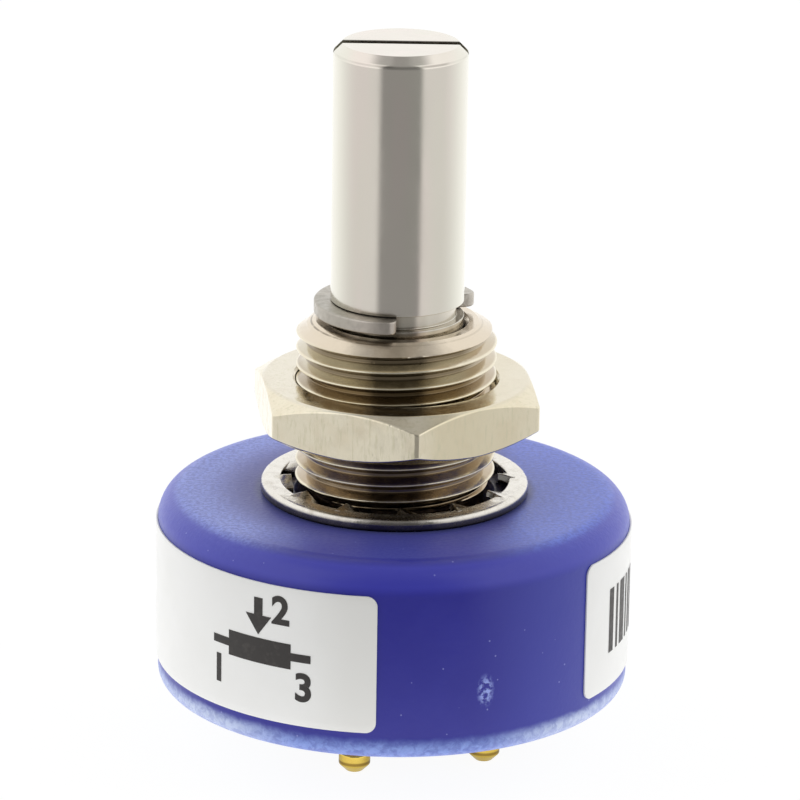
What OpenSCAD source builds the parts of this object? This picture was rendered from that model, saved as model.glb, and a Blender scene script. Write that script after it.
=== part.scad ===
// Single-turn rotary potentiometer for panel mounting by a threaded bushing.
// The origin is the centre of the housing's front face, and +Z points along the shaft.
// Azimuths are in degrees from the front (-Y), positive towards +X.

/* [Housing] */
// Outer diameter of the moulded cup
housing_d = 22.6; // [22.2:0.2:26]
// Distance from the front face to the rear edge
housing_h = 9.5; // [9.5:0.1:12]
// Thickness of the cup's side wall
wall_t = 1.2; // [1:0.1:1.4]
// Thickness of the cup's front wall
front_t = 1.8; // [1.6:0.1:2.2]
// Radius of the rounded front edge
front_edge_r = 1.4; // [0.6:0.1:1.6]
// Radius of the rear edge, rolled over the cover
rim_r = 1.2; // [0.6:0.1:1.3]
// Thickness of the rolled lip behind the cover
lip_t = 0.6; // [0.4:0.1:0.8]
// How far the lip reaches in over the cover
lip_reach = 0.6; // [0.4:0.1:0.8]

/* [Bushing] */
// Major diameter of the mounting thread
thread_d = 9.525; // [9:0.025:10.5]
// Pitch of the thread, which stands here as even grooves
thread_pitch = 0.79375; // [0.75:0.00625:1]
// Depth of the thread
thread_depth = 0.48; // [0.3:0.01:0.5]
// Height of the bushing above the front face
bushing_h = 8.5; // [8:0.1:12]
// Chamfer at the end of the bushing
bushing_chamfer = 0.5; // [0.2:0.05:0.7]
// Diameter of the flange behind the front wall
flange_d = 11.6; // [11:0.1:12.4]
// Thickness of that flange
flange_t = 1; // [0.8:0.1:1.2]
// Depth of the flange's two flats
flange_flat_depth = 0.5; // [0.3:0.1:0.7]
// Relief round the shaft at the mouth of the bore
bore_relief = 0.22; // [0.1:0.02:0.3]

/* [Shaft] */
// Diameter of the shaft
shaft_d = 6.35; // [6:0.05:6.5]
// Height of the shaft's end above the front face
shaft_top = 21.95; // [14:0.05:30]
// Chamfer at the shaft's end
shaft_chamfer = 0.44; // [0.2:0.02:0.8]
// Width of the screwdriver slot
slot_w = 0.6; // [0.4:0.1:1.2]
// Depth of the screwdriver slot
slot_depth = 1.2; // [0.8:0.1:2]
// Diameter of the shaft's tail inside the rotor hub
tail_d = 4.8; // [4.4:0.1:5]
// Width across the tail's two driving flats
tail_flats = 4; // [3.6:0.1:4.2]
// Height of the staked head, countersunk in the hub
stake_h = 0.35; // [0.2:0.05:0.6]
// Diameter of the staked head
stake_d = 5.8; // [5.4:0.1:6]

/* [Retaining ring] */
// Height of the groove's lower edge above the bushing
groove_gap = 0.3; // [0.1:0.05:0.5]
// Width of the groove
groove_w = 0.72; // [0.7:0.01:0.9]
// Depth of the groove
groove_depth = 0.375; // [0.3:0.025:0.5]
// Thickness of the ring
ring_t = 0.64; // [0.5:0.02:0.68]
// Radial width of the ring
ring_w = 1.14; // [0.9:0.02:1.3]
// Angle that the ring leaves open
ring_open = 107; // [90:1:120]
// Azimuth of the middle of that opening
ring_open_az = 53; // [0:1:359]

/* [Nut and lock washer] */
// Width across the nut's flats
nut_af = 12.7; // [12:0.1:14]
// Thickness of the nut
nut_t = 2.38; // [2:0.01:3]
// Height of the nut's middle above the front face
nut_z = 4.48; // [4:0.01:6]
// How far the round edge of the chamfers lies inside the flats
nut_face_inset = 0.1; // [0:0.05:0.3]
// Angle of the chamfers on both faces of the nut
nut_chamfer_angle = 30; // [20:1:35]
// Width of the bevel at both mouths of the nut's bore
nut_bevel = 0.12; // [0.05:0.01:0.3]
// Azimuth of one corner of the nut
nut_az = 8.25; // [0:0.25:60]
// Thickness of the lock washer's ring
washer_t = 0.6; // [0.5:0.05:0.8]
// Radial width of the washer's ring
washer_ring_w = 0.95; // [0.7:0.05:1]
// Bevel on the washer's outer edges
washer_bevel = 0.12; // [0.05:0.01:0.2]
// Number of inner teeth
tooth_count = 12; // [8:1:14]
// Length of a tooth from the ring to its tip
tooth_l = 0.5375; // [0.4:0.0125:0.8]
// Width of a tooth where it leaves the ring
tooth_root_w = 1.4; // [1:0.1:1.6]
// Width of a tooth at its tip
tooth_tip_w = 1.1; // [0.6:0.1:1.2]
// Thickness of a tooth
tooth_t = 0.34; // [0.25:0.01:0.4]
// Twist of a tooth out of the washer's plane
tooth_twist = 18; // [5:1:25]
// Azimuth of one tooth
tooth_az = 8; // [0:0.5:30]

/* [Rear cover and terminals] */
// Thickness of the cover's rim, under the lip
cover_rim_t = 1.05; // [0.8:0.05:1.4]
// How far the cover's face stands back from the rear edge
cover_recess = 0.15; // [0.1:0.05:0.3]
// Distance from the cup's inner wall to the middle of a terminal
terminal_inset = 3.75; // [3.2:0.05:4.2]
// Azimuth of the middle terminal
terminal_mid_az = 44.5; // [0:0.5:359]
// Angle between neighbouring terminals
terminal_step = 60; // [50:1:75]
// How far the terminals stand out behind the rear edge
terminal_out = 2.5; // [2.2:0.1:4]
// Diameter of a terminal's shank and neck
terminal_neck_d = 1; // [0.8:0.05:1.1]
// Diameter of a terminal's end
terminal_head_d = 1.5; // [1.4:0.05:1.7]
// Length of a terminal's end
terminal_head_h = 0.95; // [0.8:0.05:1.2]
// Chamfer round a terminal's end
terminal_chamfer = 0.35; // [0.2:0.05:0.4]
// Diameter of the shoulder against the cover
shoulder_d = 1.9; // [1.7:0.05:2.1]
// Thickness of that shoulder
shoulder_t = 0.35; // [0.25:0.05:0.5]
// Diameter of the riveted end on the element plate
rivet_d = 1.5; // [1.3:0.05:1.6]
// Thickness of the riveted end
rivet_t = 0.2; // [0.15:0.05:0.25]

/* [Element] */
// Thickness of the element plate
plate_t = 0.8; // [0.6:0.1:1]
// Thickness of the tracks and leads on the plate
film_t = 0.1; // [0.05:0.05:0.15]
// Free width between the resistive track and the cup's wall
track_margin = 0.9; // [0.6:0.05:1.2]
// Angle that the resistive track leaves open
track_open = 20; // [14:1:40]
// Angle that a lead's pad takes up at each track end
pad_angle = 5; // [3:0.5:7]
// Width of the collector ring
collector_w = 1.2; // [1:0.1:1.4]
// Free width between the collector ring and the plate's middle hole
hole_margin = 0.5; // [0.3:0.1:1]
// Width of the leads beside the track
lead_w = 0.3; // [0.2:0.05:0.35]
// Free space between track and leads
lead_gap = 0.1; // [0.05:0.05:0.2]
// Diameter of the eye round each terminal
eye_d = 1.7; // [1.6:0.05:1.9]
// Free width between the outer terminals' eyes and the collector ring
eye_gap = 0.6; // [0.3:0.1:0.9]
// Width of the tabs that join the eyes to the leads
tab_w = 0.8; // [0.6:0.1:1]

/* [Rotor] */
// Diameter of the hub's disc
hub_d = 9.8; // [9:0.2:11]
// Free width between the stop lug and the cup's wall
lug_gap = 0.7; // [0.4:0.1:0.9]
// Angle that the stop lug takes up
lug_angle = 10; // [8:0.5:10]
// Distance from the lug's end to the outer pin
lug_pin_inset = 1.2; // [0.8:0.1:1.6]
// Angle that the housing's stop post takes up
post_angle = 9; // [8:0.5:9]
// How far the stop post reaches in from the cup's wall
post_reach = 1.5; // [1.2:0.1:2]
// Free height between stop post and wiper carrier
post_gap = 0.3; // [0.2:0.05:0.5]
// Thickness of the thrust washer behind the flange
thrust_t = 0.28; // [0.2:0.02:0.4]
// Outer diameter of the thrust washer
thrust_d = 8.4; // [7.6:0.2:9.4]
// Thickness of the wiper carrier
carrier_t = 0.2; // [0.15:0.05:0.3]
// Height of the wiper carrier above the tracks
carrier_rise = 1.2; // [1:0.05:1.6]
// Diameter of the two pins staked through the carrier
pin_d = 0.8; // [0.6:0.1:1]
// Height of the pins' heads under the carrier
pin_head_h = 0.2; // [0.1:0.05:0.3]
// Thickness of the contact fingers
brush_t = 0.12; // [0.08:0.02:0.16]
// Number of fingers on each brush
finger_count = 4; // [2:1:5]
// Width of one finger
finger_w = 0.2; // [0.15:0.01:0.22]
// Space between two fingers
finger_gap = 0.07; // [0.04:0.01:0.1]
// Distance from a brush's root edge to the arm's middle line
root_reach = 2.6; // [2.4:0.1:2.8]
// Length of a brush's flat root
root_l = 1.2; // [1:0.1:1.4]
// Distance from the arm's middle line to the contact point
tip_reach = 2; // [1.6:0.1:2.2]
// Length of the upturned fingertip
toe_l = 0.5; // [0.3:0.1:0.7]
// Rise of the upturned fingertip
toe_rise = 0.25; // [0.1:0.05:0.4]

/* [Label] */
// Distance from the front face to the label's upper edge
label_top = 1.4; // [1.4:0.1:2]
// Distance from the rear edge to the label's lower edge
label_foot = 1.4; // [1.3:0.1:3]
// Thickness of the label
label_t = 0.1; // [0.05:0.05:0.2]
// Azimuth of the label's end left of the gap
label_left_az = -3.5; // [-60:0.5:20]
// Azimuth of the label's end right of the gap
label_right_az = 53; // [30:0.5:90]
// Radius of the label's corners
label_corner_r = 0.5; // [0.2:0.1:1]

/* [Fits] */
// Radial clearance of the shaft in the bushing
running_fit = 0.025; // [0.01:0.005:0.05]
// Radial clearance of the nut on the thread
thread_fit = 0.05; // [0.02:0.01:0.09]
// Radial clearance of pieces that are pressed or glued together
seat_fit = 0.01; // [0.01:0.01:0.03]
// Radial clearance of the lock washer's teeth round the thread
tooth_fit = 0.15; // [0.05:0.05:0.3]
// Clearance along the axis between pieces that turn and pieces that stand
axial_play = 0.02; // [0.01:0.01:0.05]
// Free height between the fingertips and their tracks
contact_gap = 0.03; // [0.02:0.01:0.05]

/* [Hidden] */
$fn = 96;
eps = 0.01;
corner_steps = 6;
housing_r = housing_d / 2;
inner_r = housing_r - wall_t;
thread_r = thread_d / 2;
shaft_r = shaft_d / 2;
groove_r = shaft_r - groove_depth;
flange_z = -front_t - flange_t;
flange_flats = flange_d - 2 * flange_flat_depth;
cover_bottom = -housing_h + cover_recess;
cover_rim_r = housing_r - rim_r + lip_reach / 2;
lip_r = cover_rim_r - lip_reach;
cover_seat = -housing_h + lip_t + cover_rim_t;
plate_top = cover_seat + plate_t;
track_top = plate_top + film_t;
carrier_bottom = track_top + carrier_rise;
hub_bottom = carrier_bottom + carrier_t;
hub_top = flange_z - thrust_t - axial_play;
hub_t = hub_top - hub_bottom;
lug_r = inner_r - lug_gap;
groove_z = bushing_h + groove_gap;
terminal_r = inner_r - terminal_inset;
terminal_bottom = -housing_h - terminal_out;
tooth_tip_r = thread_r + tooth_fit;
washer_inner_r = tooth_tip_r + tooth_l;
tooth_mid_z = (tooth_root_w * sin(tooth_twist) + tooth_t * cos(tooth_twist)) / 2;
brush_w = finger_count * finger_w + (finger_count - 1) * finger_gap;
lead_in_r = terminal_r + eye_d / 2 + lead_gap;
lead_out_r = lead_in_r + lead_w;
track_in_r = lead_out_r + lead_gap;
track_out_r = inner_r - track_margin;
track_r = (track_in_r + track_out_r) / 2;
collector_out_r = terminal_r - eye_d / 2 - eye_gap;
collector_in_r = collector_out_r - collector_w;
collector_r = (collector_in_r + collector_out_r) / 2;
tip_az = atan(tip_reach / track_r);
wiper_az = terminal_mid_az + 180 - tip_az;
post_az = wiper_az + 180;

// A straight tube from z_low to z_high
module tube(r_out, r_in, z_low, z_high) {
    difference() {
        translate([0, 0, z_low]) cylinder(r = r_out, h = z_high - z_low);
        translate([0, 0, z_low - eps]) cylinder(r = r_in, h = z_high - z_low + 2 * eps);
    }
}

// A piece of ring, span degrees long, with its middle at azimuth az
module ring_sector(r_in, r_out, z_low, z_high, span, az = 0) {
    rotate([0, 0, az - 90 - span / 2])
        rotate_extrude(angle = span)
            translate([r_in, z_low]) square([r_out - r_in, z_high - z_low]);
}

// Moves its children from the axis to radius r at azimuth az
module at_azimuth(az, r) {
    rotate([0, 0, az]) translate([0, -r, 0]) children();
}

// Half section of the cup's outside, with both edges rounded
module cup_outline() {
    square_h = housing_h - rim_r - front_edge_r;
    translate([0, -housing_h + rim_r]) square([housing_r, square_h]);
    translate([0, -front_edge_r]) square([housing_r - front_edge_r, front_edge_r]);
    translate([0, -housing_h]) square([housing_r - rim_r, rim_r]);
    translate([housing_r - front_edge_r, -front_edge_r]) circle(front_edge_r);
    translate([housing_r - rim_r, -housing_h + rim_r]) circle(rim_r);
}

// Half section of the space inside the cup: chamber, cover seat and lip opening
module cup_space() {
    translate([0, cover_seat]) square([inner_r, -front_t - cover_seat]);
    translate([0, -housing_h + lip_t]) square([cover_rim_r + seat_fit, cover_rim_t]);
    translate([0, -housing_h - eps]) square([lip_r, lip_t + 2 * eps]);
}

// Ribs on the inside of the front wall that keep the bushing's flange from turning
module flange_ribs() {
    rib_w = flange_flat_depth + seat_fit;
    for (side = [-1, 1])
        translate([0, side * (flange_flats / 2 + seat_fit + rib_w / 2), -front_t - flange_t / 2])
            cube([flange_flats / 2, rib_w, flange_t + 2 * eps], center = true);
}

module housing() {
    post_r = inner_r - post_reach;
    post_low = hub_bottom + post_gap;
    color("#3f3fa0") {
        difference() {
            rotate_extrude() difference() {
                cup_outline();
                cup_space();
            }
            translate([0, 0, -front_t - eps]) cylinder(r = thread_r + seat_fit, h = front_t + 2 * eps);
        }
        flange_ribs();
        ring_sector(post_r, inner_r + eps, post_low, -front_t + eps, post_angle, post_az);
    }
}

// Half section of the bushing's thread: ridges with flanks at 30 degrees, from the chamfer down
module thread_outline() {
    thread_top = bushing_h - bushing_chamfer;
    mouth = thread_pitch * 7 / 16;
    floor_half = mouth - thread_depth * tan(30);
    difference() {
        translate([0, -front_t]) square([thread_r, front_t + thread_top]);
        for (i = [1 : floor(thread_top / thread_pitch)])
            translate([thread_r, thread_top - (i - 0.5) * thread_pitch]) polygon([
                [0, mouth], [-thread_depth, floor_half], [-thread_depth, -floor_half], [0, -mouth],
                [thread_depth, -mouth], [thread_depth, mouth],
            ]);
    }
}

module bushing() {
    relief_r = shaft_r + running_fit + bore_relief;
    color("#ddd2b4") difference() {
        union() {
            rotate_extrude() thread_outline();
            translate([0, 0, bushing_h - bushing_chamfer])
                cylinder(r1 = thread_r, r2 = thread_r - bushing_chamfer, h = bushing_chamfer);
            intersection() {
                translate([0, 0, flange_z]) cylinder(d = flange_d, h = flange_t);
                translate([0, 0, flange_z + flange_t / 2])
                    cube([flange_d, flange_flats, flange_t], center = true);
            }
        }
        translate([0, 0, flange_z - eps])
            cylinder(r = shaft_r + running_fit, h = bushing_h - flange_z + 2 * eps);
        translate([0, 0, bushing_h - bore_relief])
            cylinder(r1 = shaft_r + running_fit, r2 = relief_r, h = bore_relief + eps);
    }
}

// One tooth, pointing from the washer's ring to the thread
module washer_tooth() {
    root_y = -washer_inner_r - washer_ring_w / 2;
    tip_y = -tooth_tip_r;
    translate([0, 0, tooth_mid_z]) rotate([0, tooth_twist, 0]) translate([0, 0, -tooth_t / 2])
        linear_extrude(tooth_t) polygon([
            [-tooth_root_w / 2, root_y], [tooth_root_w / 2, root_y],
            [tooth_root_w / 2, -washer_inner_r], [tooth_tip_w / 2, tip_y],
            [-tooth_tip_w / 2, tip_y], [-tooth_root_w / 2, -washer_inner_r],
        ]);
}

module lock_washer() {
    outer_r = washer_inner_r + washer_ring_w;
    color("#d8d4c8") {
        rotate_extrude() polygon([
            [washer_inner_r, 0], [outer_r - washer_bevel, 0], [outer_r, washer_bevel],
            [outer_r, washer_t - washer_bevel], [outer_r - washer_bevel, washer_t],
            [washer_inner_r, washer_t],
        ]);
        for (i = [0 : tooth_count - 1])
            rotate([0, 0, tooth_az + i * 360 / tooth_count]) washer_tooth();
    }
}

module hex_nut() {
    corner_r = nut_af / 2 / cos(30);
    face_r = nut_af / 2 - nut_face_inset;
    blank_r = corner_r + nut_bevel;
    drop = (blank_r - face_r) * tan(nut_chamfer_angle);
    bore_r = thread_r + thread_fit;
    mouth_r = bore_r + nut_bevel;
    half_t = nut_t / 2;
    color("#ddd2b4") translate([0, 0, nut_z]) difference() {
        intersection() {
            rotate([0, 0, nut_az - 90]) cylinder(r = corner_r, h = nut_t, $fn = 6, center = true);
            rotate_extrude() polygon([
                [0, -half_t], [face_r, -half_t], [blank_r, drop - half_t],
                [blank_r, half_t - drop], [face_r, half_t], [0, half_t],
            ]);
        }
        cylinder(r = bore_r, h = nut_t + 2 * eps, center = true);
        for (side = [0, 1]) mirror([0, 0, side]) translate([0, 0, half_t - nut_bevel])
            cylinder(r1 = bore_r, r2 = mouth_r + eps, h = nut_bevel + eps);
    }
}

// What is cut off one corner of the label to round it, seen from outside
module corner_cut(az, z, turn) {
    step = 90 / corner_steps;
    arc = [for (i = [0.5 : corner_steps]) label_corner_r * [1 - cos(i * step), 1 - sin(i * step)]];
    out = 2 * label_t;
    at_azimuth(az, inner_r) translate([0, 0, z]) rotate([90, turn, 0]) linear_extrude(2 * wall_t)
        polygon(concat([[-out, -out], [-out, label_corner_r]], arc, [[label_corner_r, -out]]));
}

module label() {
    span = 360 - label_right_az + label_left_az;
    label_bottom = -housing_h + label_foot;
    in_r = housing_r + seat_fit;
    color("#e8e8e4") difference() {
        ring_sector(in_r, in_r + label_t, label_bottom, -label_top, span, label_right_az + span / 2);
        corner_cut(label_right_az, label_bottom, 0);
        corner_cut(label_right_az, -label_top, 90);
        corner_cut(label_left_az, -label_top, 180);
        corner_cut(label_left_az, label_bottom, 270);
    }
}

// Runs its children once at each terminal's azimuth
module at_terminals() {
    for (i = [-1, 0, 1]) at_azimuth(terminal_mid_az + i * terminal_step, terminal_r) children();
}

module rear_cover() {
    color("#3a3a98") difference() {
        union() {
            translate([0, 0, -housing_h + lip_t]) cylinder(r = cover_rim_r, h = cover_rim_t);
            translate([0, 0, cover_bottom]) cylinder(r = lip_r - seat_fit, h = cover_seat - cover_bottom);
        }
        at_terminals() translate([0, 0, cover_bottom - eps])
            cylinder(d = terminal_neck_d + 2 * seat_fit, h = cover_seat - cover_bottom + 2 * eps);
    }
}

// A turret terminal: riveted end, shank, shoulder, neck and chamfered end
module terminal(az) {
    neck_r = terminal_neck_d / 2;
    head_r = terminal_head_d / 2;
    head_z = terminal_bottom + terminal_head_h;
    color("#d9b441") at_azimuth(az, terminal_r) {
        translate([0, 0, track_top]) cylinder(d = rivet_d, h = rivet_t);
        translate([0, 0, head_z - eps]) cylinder(r = neck_r, h = track_top - head_z + 2 * eps);
        translate([0, 0, cover_bottom - shoulder_t]) cylinder(d = shoulder_d, h = shoulder_t);
        translate([0, 0, terminal_bottom + terminal_chamfer])
            cylinder(r = head_r, h = terminal_head_h - terminal_chamfer);
        translate([0, 0, terminal_bottom])
            cylinder(r1 = head_r - terminal_chamfer, r2 = head_r, h = terminal_chamfer);
    }
}

module terminal_1() { terminal(terminal_mid_az - terminal_step); }
module terminal_2() { terminal(terminal_mid_az); }
module terminal_3() { terminal(terminal_mid_az + terminal_step); }

module element_plate() {
    color("#c9b27a") difference() {
        tube(inner_r - seat_fit, collector_in_r - hole_margin, cover_seat, plate_top);
        at_terminals() translate([0, 0, cover_seat - eps])
            cylinder(d = terminal_neck_d + 2 * seat_fit, h = plate_t + 2 * eps);
    }
}

module resistive_track() {
    color("#26262a")
        ring_sector(track_in_r, track_out_r, plate_top, track_top, 360 - track_open,
            terminal_mid_az + 180);
}

// Flat shape of a piece of ring, span degrees long, with its middle at azimuth az
module flat_sector(r_in, r_out, span, az) {
    reach = 2 * r_out;
    wedge = [for (i = [-2 : 2]) reach * [sin(i * span / 4), -cos(i * span / 4)]];
    rotate(az) intersection() {
        difference() {
            circle(r_out);
            circle(r_in);
        }
        polygon(concat([[0, 0]], wedge));
    }
}

// Flat shape of a terminal's eye and of the tab that runs from it to radius tab_r
module flat_eye(az, tab_r) {
    reach = tab_r - terminal_r;
    rotate(az) translate([0, -terminal_r]) {
        circle(d = eye_d);
        translate([0, -reach / 2]) square([tab_w, abs(reach)], center = true);
    }
}

// Lays a flat shape on the element plate as film, with a hole for the terminal at azimuth az
module film(az) {
    translate([0, 0, plate_top]) linear_extrude(film_t) difference() {
        children();
        rotate(az) translate([0, -terminal_r]) circle(d = terminal_neck_d + 2 * seat_fit);
    }
}

module collector_ring() {
    color("#8d8f94") film(terminal_mid_az) {
        difference() {
            circle(collector_out_r);
            circle(collector_in_r);
        }
        flat_eye(terminal_mid_az, collector_r + collector_w / 4);
    }
}

// The lead from one end of the track to the outer terminal on that side
module track_lead(side) {
    end_az = track_open / 2;
    terminal_az = terminal_mid_az + side * terminal_step;
    pad_az = terminal_mid_az + side * (end_az - pad_angle / 2);
    strip_from = end_az - pad_angle;
    strip_span = terminal_step - strip_from;
    strip_az = terminal_mid_az + side * (strip_from + strip_span / 2);
    color("#b9bcc0") film(terminal_az) {
        flat_sector(lead_in_r, track_out_r, pad_angle, pad_az);
        flat_sector(lead_in_r, lead_out_r, strip_span, strip_az);
        flat_eye(terminal_az, lead_in_r + lead_w / 2);
    }
}

module start_lead() { track_lead(-1); }
module end_lead() { track_lead(1); }

// The shaft's tail with its two flats and its countersunk head, grown by fit for the hub's hole
module tail(fit) {
    head_z = hub_bottom + axial_play;
    tail_h = hub_top - head_z;
    translate([0, 0, head_z]) cylinder(d1 = stake_d + 2 * fit, d2 = tail_d + 2 * fit, h = stake_h);
    intersection() {
        translate([0, 0, head_z + eps]) cylinder(d = tail_d + 2 * fit, h = tail_h);
        translate([0, 0, head_z + tail_h / 2])
            cube([tail_flats + 2 * fit, 2 * tail_d, 2 * tail_h], center = true);
    }
}

module shaft() {
    color("#c8c6c0") difference() {
        union() {
            translate([0, 0, hub_top]) cylinder(r = shaft_r, h = shaft_top - shaft_chamfer - hub_top);
            translate([0, 0, shaft_top - shaft_chamfer])
                cylinder(r1 = shaft_r, r2 = shaft_r - shaft_chamfer, h = shaft_chamfer);
            tail(0);
        }
        tube(shaft_d, groove_r, groove_z, groove_z + groove_w);
        translate([0, 0, shaft_top]) cube([2 * shaft_d, slot_w, 2 * slot_depth], center = true);
    }
}

module retaining_ring() {
    ring_z = groove_z + (groove_w - ring_t) / 2;
    ring_in_r = groove_r + seat_fit;
    color("#8f8b90") ring_sector(ring_in_r, ring_in_r + ring_w, ring_z, ring_z + ring_t,
        360 - ring_open, ring_open_az + 180);
}

module inner_washer() {
    color("#e9e6dc") tube(thrust_d / 2, shaft_r + thread_fit, flange_z - thrust_t, flange_z);
}

// The hub's pins, which are staked over under the wiper carrier
module hub_pins(d, z_low, z_high) {
    for (r = [hub_d / 2 - pin_d, lug_r - lug_pin_inset])
        translate([0, -r, z_low]) cylinder(d = d, h = z_high - z_low);
}

module rotor_hub() {
    color("#2b2b30") rotate([0, 0, wiper_az]) {
        difference() {
            union() {
                translate([0, 0, hub_bottom]) cylinder(d = hub_d, h = hub_t);
                ring_sector(hub_d / 4, lug_r, hub_bottom, hub_top, lug_angle);
            }
            rotate([0, 0, -wiper_az]) tail(seat_fit);
            translate([0, 0, hub_bottom - eps])
                cylinder(d = stake_d + 2 * seat_fit, h = axial_play + 2 * eps);
        }
        hub_pins(pin_d, carrier_bottom - pin_head_h, hub_bottom + eps);
    }
}

module wiper_carrier() {
    in_r = collector_r - brush_w / 2;
    out_r = track_r + brush_w / 2;
    color("#b98a4a") rotate([0, 0, wiper_az]) difference() {
        translate([-root_reach, -out_r, carrier_bottom])
            cube([root_reach + pin_d, out_r - in_r, carrier_t]);
        hub_pins(pin_d + 2 * seat_fit, carrier_bottom - eps, hub_bottom + eps);
    }
}

// A row of sprung fingers whose tips stand at mean radius r, and the flat root that joins them
module brush(r) {
    root_end = -root_reach + root_l;
    tip_z = track_top + contact_gap + brush_t;
    line = [
        [-root_reach, carrier_bottom], [root_end, carrier_bottom],
        [tip_reach, tip_z], [tip_reach + toe_l, tip_z + toe_rise],
    ];
    under = [for (i = [len(line) - 1 : -1 : 0]) line[i] - [0, brush_t]];
    color("#d7b36a") rotate([0, 0, wiper_az]) {
        translate([-root_reach, -r - brush_w / 2, carrier_bottom - brush_t])
            cube([root_l, brush_w, brush_t]);
        for (i = [0 : finger_count - 1])
            translate([0, brush_w / 2 - r - i * (finger_w + finger_gap), 0]) rotate([90, 0, 0])
                linear_extrude(finger_w) polygon(concat(line, under));
    }
}

module track_brush() { brush(track_r); }
module collector_brush() { brush(collector_r); }

housing();
bushing();
lock_washer();
hex_nut();
label();
rear_cover();
terminal_1();
terminal_2();
terminal_3();
element_plate();
resistive_track();
collector_ring();
start_lead();
end_lead();
shaft();
retaining_ring();
inner_washer();
rotor_hub();
wiper_carrier();
track_brush();
collector_brush();
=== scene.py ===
import math

import bmesh
import bpy
import numpy as np
from mathutils import Matrix, Vector


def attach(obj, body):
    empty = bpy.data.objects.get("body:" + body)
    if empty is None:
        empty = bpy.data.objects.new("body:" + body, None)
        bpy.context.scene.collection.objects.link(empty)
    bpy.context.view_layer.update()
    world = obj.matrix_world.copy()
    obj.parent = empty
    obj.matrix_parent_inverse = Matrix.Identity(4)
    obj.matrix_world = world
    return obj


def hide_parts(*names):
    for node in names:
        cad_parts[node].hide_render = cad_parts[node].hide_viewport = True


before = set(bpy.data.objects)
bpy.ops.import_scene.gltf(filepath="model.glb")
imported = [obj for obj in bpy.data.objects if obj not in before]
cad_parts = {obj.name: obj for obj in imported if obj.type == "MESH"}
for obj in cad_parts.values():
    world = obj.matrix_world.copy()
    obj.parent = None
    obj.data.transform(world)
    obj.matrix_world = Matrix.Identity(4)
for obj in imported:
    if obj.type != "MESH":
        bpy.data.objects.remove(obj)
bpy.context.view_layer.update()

# A millimetre in metres, and the steps in a full turn
MM = 0.001
AROUND = 256

# Sizes in mm, as in the solids to within 0.02 mm. Heights are above the case's front face

# The shaft with its screwdriver slot and its groove
SHAFT_R = 3.175
SHAFT_TOP = 21.95
SHAFT_CHAMFER = 0.44
SHOULDER_Z = -3.1
TAIL_R = 2.4
TAIL_Z = -5.53
SLOT_W = 0.6
SLOT_DEPTH = 1.2
GROOVE_R = 2.8
GROOVE_LOW = 8.8
GROOVE_HIGH = 9.52

# The retaining ring, from one azimuth to the other
RING_OUT = 3.95
RING_LOW = 8.84
RING_HIGH = 9.48
RING_CORNER = 0.55
RING_FROM = 106.5
RING_TO = 359.5

# The threaded bushing, whose bore has a small relief at its mouth
BORE_R = 3.2
MOUTH = 0.22
BUSH_TOP = 8.5
SHANK_R = 4.28
FLANGE_R = 5.8
FLANGE_LOW = -2.8
THREAD_R = 4.7625
THREAD_LOW = 0.15
THREAD_DEPTH = 0.487
PITCH = 0.79375
CREST_Z = 0.929
CHAMFER_HIGH = 0.5

# The chamfer on the bushing's top is wider than in the solids, and a fine dark line is drawn round it
CHAMFER_WIDE = 0.9
DARK_LINE_R = 4.06

# The hexagon nut, by half its width across flats
NUT_FLAT = 6.35
NUT_LOW = 3.29
NUT_HIGH = 5.67
NUT_AZ = 8.25
NUT_FACE_R = 6.25
NUT_BORE_R = 4.8125
NUT_MOUTH = 0.12

# The lock washer with its inner teeth
WASHER_IN = 5.45
WASHER_OUT = 6.4
WASHER_T = 0.6
TEETH = 12
TOOTH_AZ = 8
TOOTH_TIP_R = 4.93

# The case and the cover in its seat
BODY_R = 11.3
BODY_LOW = -9.5
HOLE_R = 4.775
FRONT_WALL_Z = -1.8
CAVITY_R = 10.1
SEAT_R = 10.41
SEAT_HIGH = -7.85
SEAT_LOW = -8.9
LIP_R = 9.8
COVER_GAP = 0.01
COVER_LOW = -9.35

# The label's film and the ink on it
LABEL_R = 11.395
LABEL_TOP = -1.4
LABEL_LOW = -8.1
LABEL_FROM = 53.0
LABEL_TO = 356.5
LABEL_CORNER = 0.5
FILM = 0.085
INK_R = 11.407
PRINT_Z = -4.75
SYMBOL_AZ = -33.0
BARS_AZ = 74.0

# The turret terminals
TERMINAL_R = 6.35
TERMINAL_AZ = (-15.5, 44.5, 104.5)
HEAD_R = 0.75
HEAD_H = 0.95
NECK_R = 0.5
COLLAR_R = 0.95
COLLAR_LOW = -9.7
RIVET_R = 0.75
RIVET_LOW = -6.95
RIVET_HIGH = -6.75
FLOOR_Z = -12.0


def at(az, r, z):
    """The point at azimuth az, in degrees from the front (-Y) towards +X."""
    a = math.radians(az)
    return Vector((r * math.sin(a), -r * math.cos(a), z))


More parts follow.
